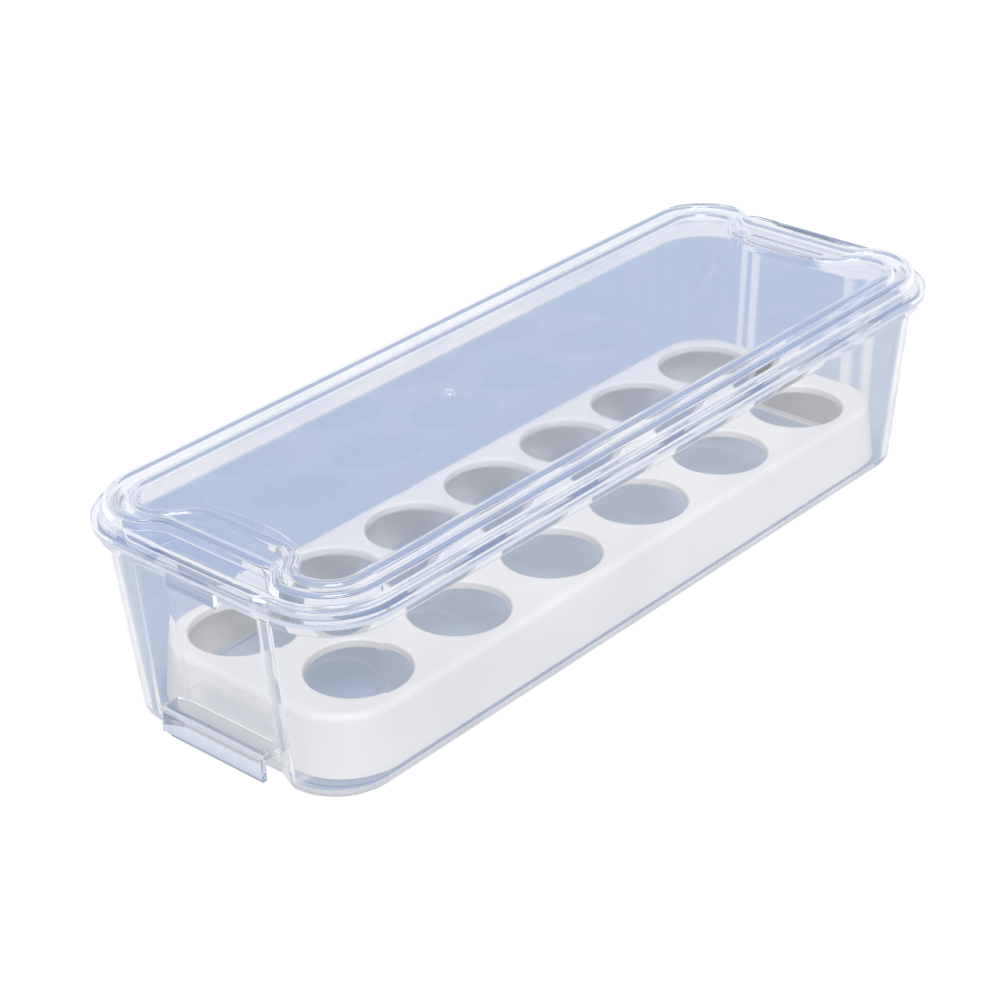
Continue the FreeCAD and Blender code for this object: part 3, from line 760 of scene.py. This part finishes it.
floor_mesh = bmesh.new()
bmesh.ops.create_grid(floor_mesh, x_segments=1, y_segments=1, size=FLOOR_HALF_M)
floor_data = bpy.data.meshes.new("floor")
floor_mesh.to_mesh(floor_data)
floor_mesh.free()
floor = bpy.data.objects.new("floor", floor_data)
bpy.context.scene.collection.objects.link(floor)
paper, tree = new_material("white paper sweep")
matt = add(tree, "ShaderNodeBsdfDiffuse", {"Color": linear("#f4f4f4")})
half = add(tree, "ShaderNodeBsdfDiffuse", {"Color": linear("#b4b4b6")})
glow = add(tree, "ShaderNodeEmission", {"Color": linear("#ffffff"), "Strength": GLOW})
both = add(tree, "ShaderNodeAddShader", {0: half, 1: glow})
mix = add(tree, "ShaderNodeMixShader", {0: seen_ray(tree), 1: matt, 2: both})
add(tree, "ShaderNodeOutputMaterial", {"Surface": mix})
floor_data.materials.append(paper)
print("floor:", [round(c, 2) for c in floor.dimensions])

# %% [markdown]
# ### Sky
# A studio is white at the level of the table and dimmer overhead. The sky has two versions as well: a dim
# white one lights the object, and the seen one is white at the horizon and blue-grey above, because clear
# edges look clear only if they mirror something darker than white.

# %% Sky
SKY_LIGHT, WHITE_TO, CEILING_FROM = 0.4, 0.08, 0.75

world = bpy.data.worlds.new("white studio")
world.use_nodes = True
tree = world.node_tree
tree.nodes.clear()
dim = add(tree, "ShaderNodeBackground", {"Color": linear("#ffffff"), "Strength": SKY_LIGHT})
view = add(tree, "ShaderNodeSeparateXYZ", {"Vector": add(tree, "ShaderNodeTexCoord").outputs["Generated"]})
room = add(tree, RAMP, {"Fac": view.outputs["Z"]},
           stops=[(WHITE_TO, linear("#ffffff")), (CEILING_FROM, linear("#b2c0da"))])
bright = add(tree, "ShaderNodeBackground", {"Color": room, "Strength": 1.0})
mix = add(tree, "ShaderNodeMixShader", {0: seen_ray(tree), 1: dim, 2: bright})
add(tree, "ShaderNodeOutputWorld", {"Surface": mix})
bpy.context.scene.world = world
print("sky:", world.name)

# %% [markdown]
# ### Lamps
# Three soft lamps light the box. The main one is a sun with a wide angle: it acts like a big softbox far
# away, so a tray that is lifted gets no brighter than one at rest. Two large area lamps fill in from the
# left and the front. Each lamp looks at the middle of the floor.

# %% Lamps
LAMPS = [("big_far_softbox", "SUN", (-0.85, -1.1, 2.9), 1.9, {"angle": math.radians(30)}),
         ("left_softbox", "AREA", (-2.9, -0.7, 1.7), 14, {"size": 2.2}),
         ("front_softbox", "AREA", (0.7, -3.1, 1.4), 12, {"size": 2.0})]
for name, kind, spot, power, settings in LAMPS:
    lamp_data = bpy.data.lights.new(name, kind)
    lamp_data.energy = power
    for key, value in settings.items():
        setattr(lamp_data, key, value)
    lamp = bpy.data.objects.new(name, lamp_data)
    lamp.matrix_world = Matrix.Translation(spot) @ Vector(spot).to_track_quat("Z", "Y").to_matrix().to_4x4()
    bpy.context.scene.collection.objects.link(lamp)
bpy.context.scene.view_settings.view_transform = "Standard"
print("lamps:", [lamp[0] for lamp in LAMPS])

# %% Finish
bpy.context.view_layer.update()
